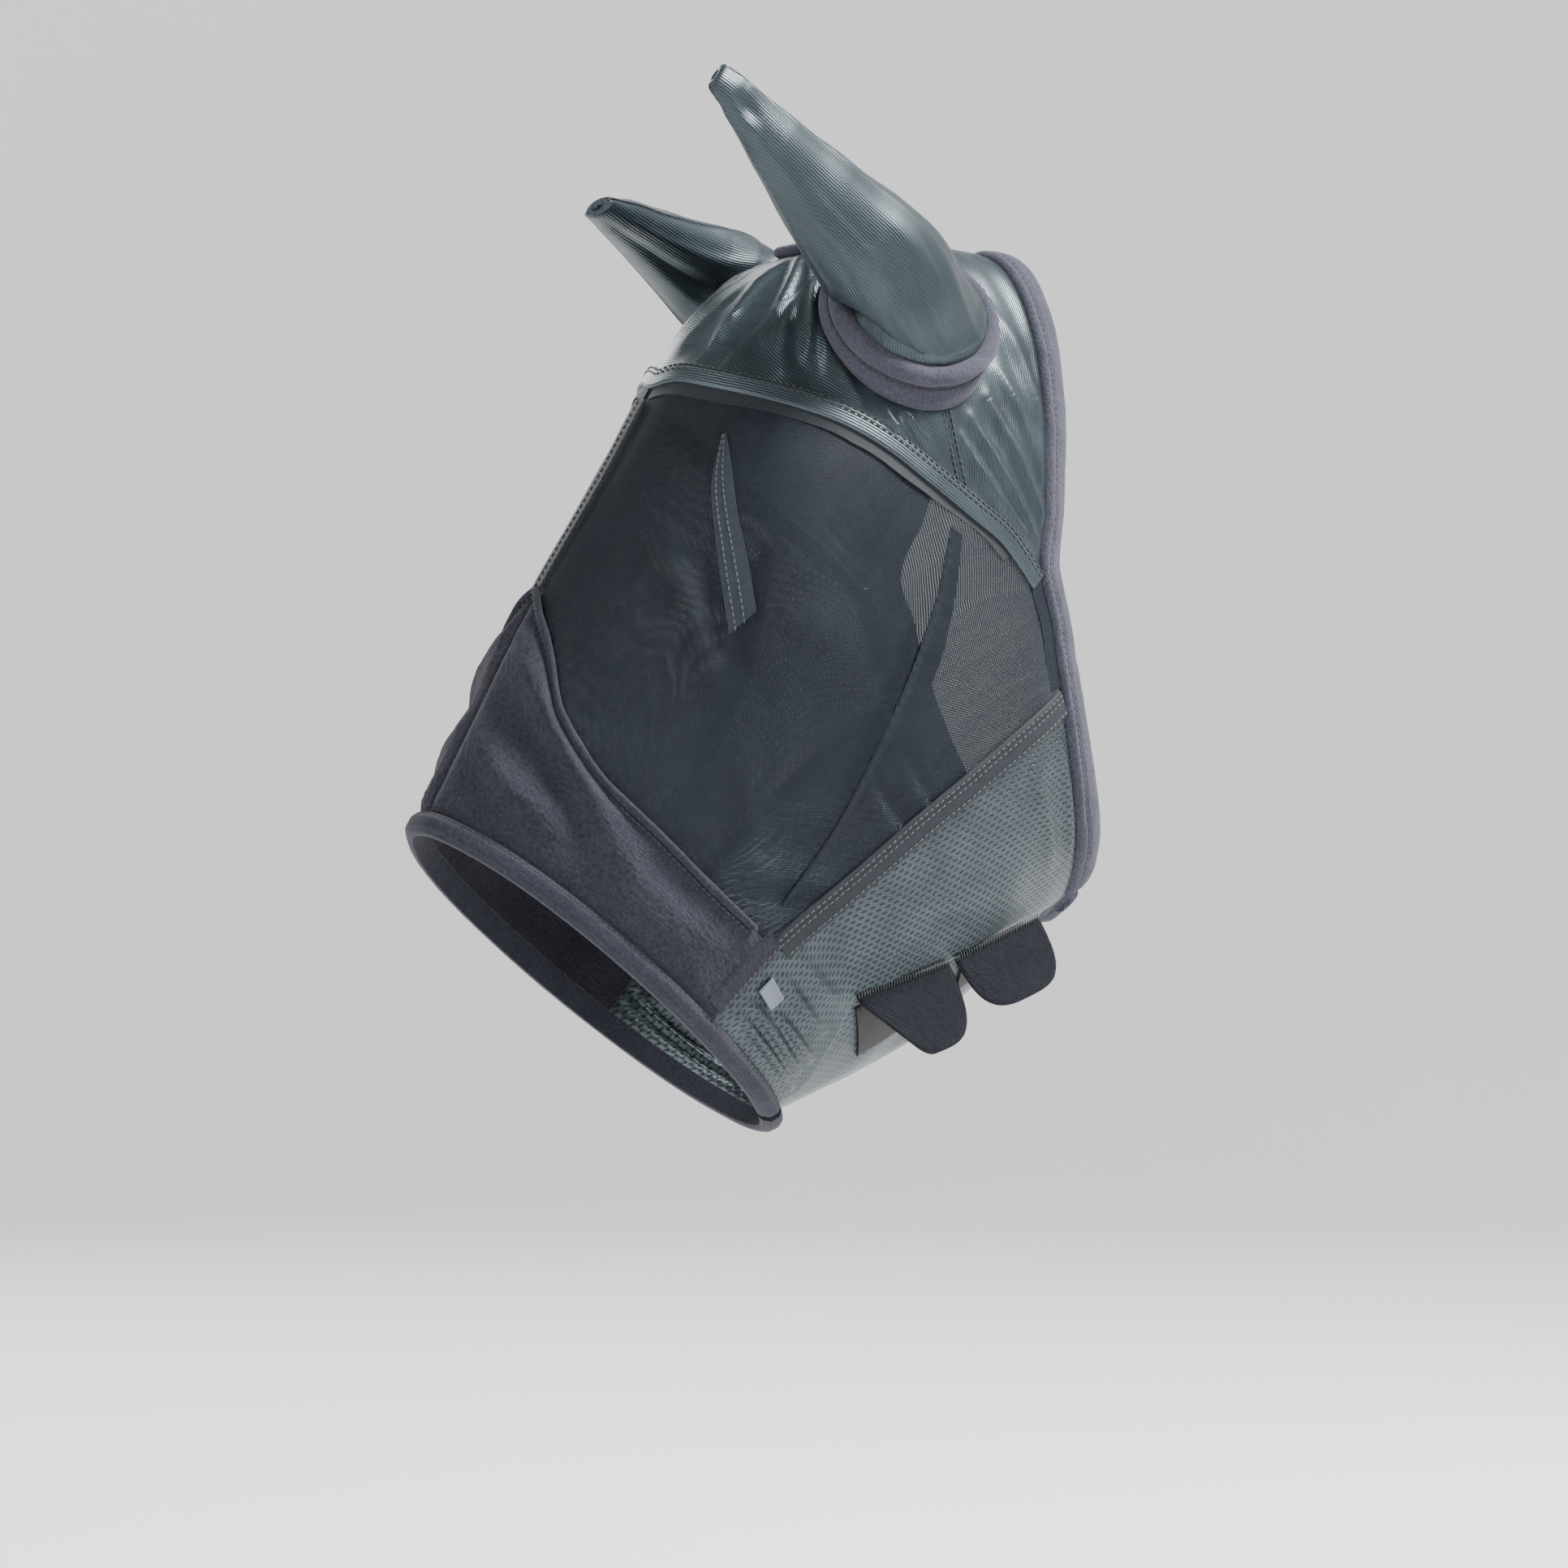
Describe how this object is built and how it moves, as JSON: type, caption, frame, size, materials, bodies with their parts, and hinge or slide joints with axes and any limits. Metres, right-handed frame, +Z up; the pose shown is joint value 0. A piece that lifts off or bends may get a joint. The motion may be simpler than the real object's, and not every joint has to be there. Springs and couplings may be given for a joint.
{
  "type": "horse fly mask",
  "caption": "Horse fly mask with see-through mesh windows, stretch-knit crown and ear covers, fleece nose panel and bindings, and a jaw panel that opens on closing tabs.",
  "frame": {"origin": "where the crown of the mask sits on the poll, on the inner face of the crown panel, behind the ears on the centre line", "axes": "+Z up as worn, -Y the way the face points, +X towards the horse's left side, where the mask opens under the jaw"},
  "size_m": [0.2281, 0.3806, 0.5347],
  "materials": {
    "satin_knit": "shiny stretch satin knit",
    "dimple_knit": "shiny dimpled stretch knit",
    "eye_mesh": "fine see-through net",
    "mesh_tape": "smooth woven facing",
    "fleece": "soft brushed fleece",
    "fleece_binding": "soft brushed fleece binding",
    "loop_tab": "dull loop pile",
    "hook_pad": "dull hook pad",
    "label": "plain woven label"
  },
  "bodies": {
    "mask": {"poll_panel": "satin_knit", "brow_panel": "satin_knit", "brow_band": "satin_knit", "forelock_binding": "fleece_binding", "mesh_left": "eye_mesh", "mesh_right": "eye_mesh", "centre_seam_tape": "mesh_tape", "eye_dart_tape_left": "mesh_tape", "eye_dart_tape_right": "mesh_tape", "jaw_tape_left": "mesh_tape", "jaw_tape_right": "mesh_tape", "nose_panel_left": "fleece", "nose_panel_right": "fleece", "nose_edging": "fleece_binding", "nose_end_strip_left": "fleece_binding", "nose_end_strip_right": "fleece_binding", "nose_binding": "fleece_binding", "neck_binding": "fleece_binding", "jaw_panel_right": "dimple_knit", "hook_patch_front": "hook_pad", "hook_patch_rear": "hook_pad", "ear_collar_left": "fleece_binding", "ear_collar_right": "fleece_binding", "ear_base_band_left": "fleece_binding", "ear_base_band_right": "fleece_binding"},
    "jaw_flap": {"jaw_panel_left": "dimple_knit", "neck_binding_flap": "fleece_binding", "nose_binding_flap": "fleece_binding", "side_label": "label"},
    "tab_front": {"closure_tab_front": "loop_tab"},
    "tab_rear": {"closure_tab_rear": "loop_tab"},
    "ear_left": {"ear_cover_inner_left": "satin_knit", "ear_cover_outer_left": "satin_knit"},
    "ear_right": {"ear_cover_inner_right": "satin_knit", "ear_cover_outer_right": "satin_knit"}
  },
  "joints": [
    {"name": "jaw_flap_swing", "type": "hinge", "parent": "mask", "child": "jaw_flap", "pos_m": [0.083, -0.08, -0.307], "axis": [-0.0784, -0.7842, -0.6155], "range_deg": [0, 55]},
    {"name": "front_tab_lift", "type": "hinge", "parent": "jaw_flap", "child": "tab_front", "pos_m": [0.05403, -0.10385, -0.38604], "axis": [0.0097, -0.9568, -0.2906], "range_deg": [0, 120]},
    {"name": "rear_tab_lift", "type": "hinge", "parent": "jaw_flap", "child": "tab_rear", "pos_m": [0.05341, -0.045, -0.36766], "axis": [0.0726, -0.9301, -0.3602], "range_deg": [0, 120]},
    {"name": "left_ear_tilt", "type": "hinge", "parent": "mask", "child": "ear_left", "pos_m": [0.08074, -0.08088, -0.03269], "axis": [0.5439, 0.2235, -0.8088], "range_deg": [-20, 1]},
    {"name": "right_ear_tilt", "type": "hinge", "parent": "mask", "child": "ear_right", "pos_m": [-0.08074, -0.08088, -0.03269], "axis": [0.5439, -0.2235, 0.8088], "range_deg": [-20, 8]}
  ]
}
